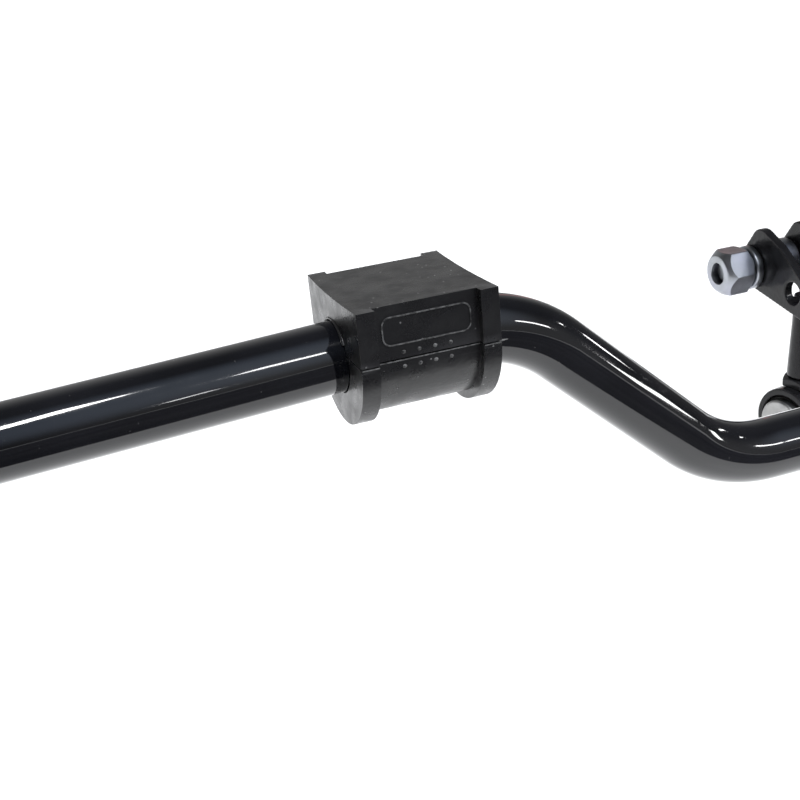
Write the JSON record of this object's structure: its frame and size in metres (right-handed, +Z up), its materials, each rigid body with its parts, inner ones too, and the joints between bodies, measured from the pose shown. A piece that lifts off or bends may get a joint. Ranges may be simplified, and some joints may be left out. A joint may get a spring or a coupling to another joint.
{
  "type": "sway bar",
  "caption": "Gloss black sway bar with D-shaped bushings, dropped ends and short upright links with forked tops and bolted pivot bushes.",
  "frame": {"origin": "middle of the footprint, at the lowest point of the two lower eyes", "axes": "+X across the vehicle along the bar, +Y to the rear where the arms reach, +Z up"},
  "size_m": [1.1668, 0.216, 0.1893],
  "materials": {
    "gloss_black_paint": "deep gloss black paint",
    "satin_black_paint": "satin black paint",
    "moulded_black": "satin moulded urethane",
    "dark_rubber": "matt bonded rubber",
    "zinc_plate": "bright zinc plate",
    "machined_steel": "plain machined steel"
  },
  "bodies": {
    "bar": {"bar": "gloss_black_paint", "right_lower_stud": "machined_steel", "right_lower_washer": "zinc_plate", "right_lower_nut": "zinc_plate", "left_lower_stud": "machined_steel", "left_lower_washer": "zinc_plate", "left_lower_nut": "zinc_plate"},
    "right_bushing": {"right_bushing": "moulded_black"},
    "right_link": {"right_lower_eye": "satin_black_paint", "right_jam_nut": "satin_black_paint", "right_lower_rubber": "dark_rubber", "right_link_fork": "satin_black_paint", "right_pivot_bolt": "zinc_plate", "right_lock_nut": "zinc_plate", "right_ring_washer": "zinc_plate", "right_head_washer": "zinc_plate", "right_upper_sleeve": "machined_steel"},
    "right_upper_bush": {"right_upper_rubber": "dark_rubber", "right_upper_shell": "zinc_plate"},
    "left_bushing": {"left_bushing": "moulded_black"},
    "left_link": {"left_lower_eye": "satin_black_paint", "left_jam_nut": "satin_black_paint", "left_lower_rubber": "dark_rubber", "left_link_fork": "satin_black_paint", "left_pivot_bolt": "zinc_plate", "left_lock_nut": "zinc_plate", "left_ring_washer": "zinc_plate", "left_head_washer": "zinc_plate", "left_upper_sleeve": "machined_steel"},
    "left_upper_bush": {"left_upper_rubber": "dark_rubber", "left_upper_shell": "zinc_plate"}
  },
  "joints": [
    {"name": "right_bushing_turn", "type": "hinge", "parent": "bar", "child": "right_bushing", "pos_m": [0.24, -0.0805, 0.1669], "axis": [1, 0, 0], "range_deg": [-30, 30]},
    {"name": "right_link_swing", "type": "hinge", "parent": "bar", "child": "right_link", "pos_m": [0.5242, 0.064, 0.0195], "axis": [0.9781, 0.2079, 0], "range_deg": [-25, 25]},
    {"name": "right_bush_turn", "type": "hinge", "parent": "right_link", "child": "right_upper_bush", "pos_m": [0.5242, 0.094, 0.103], "axis": [1, 0, 0], "range_deg": [-30, 30]},
    {"name": "left_bushing_turn", "type": "hinge", "parent": "bar", "child": "left_bushing", "pos_m": [-0.24, -0.0805, 0.1669], "axis": [1, 0, 0], "range_deg": [-30, 30]},
    {"name": "left_link_swing", "type": "hinge", "parent": "bar", "child": "left_link", "pos_m": [-0.5242, 0.064, 0.0195], "axis": [0.9781, -0.2079, 0], "range_deg": [-25, 25]},
    {"name": "left_bush_turn", "type": "hinge", "parent": "left_link", "child": "left_upper_bush", "pos_m": [-0.5242, 0.094, 0.103], "axis": [1, 0, 0], "range_deg": [-30, 30]}
  ]
}
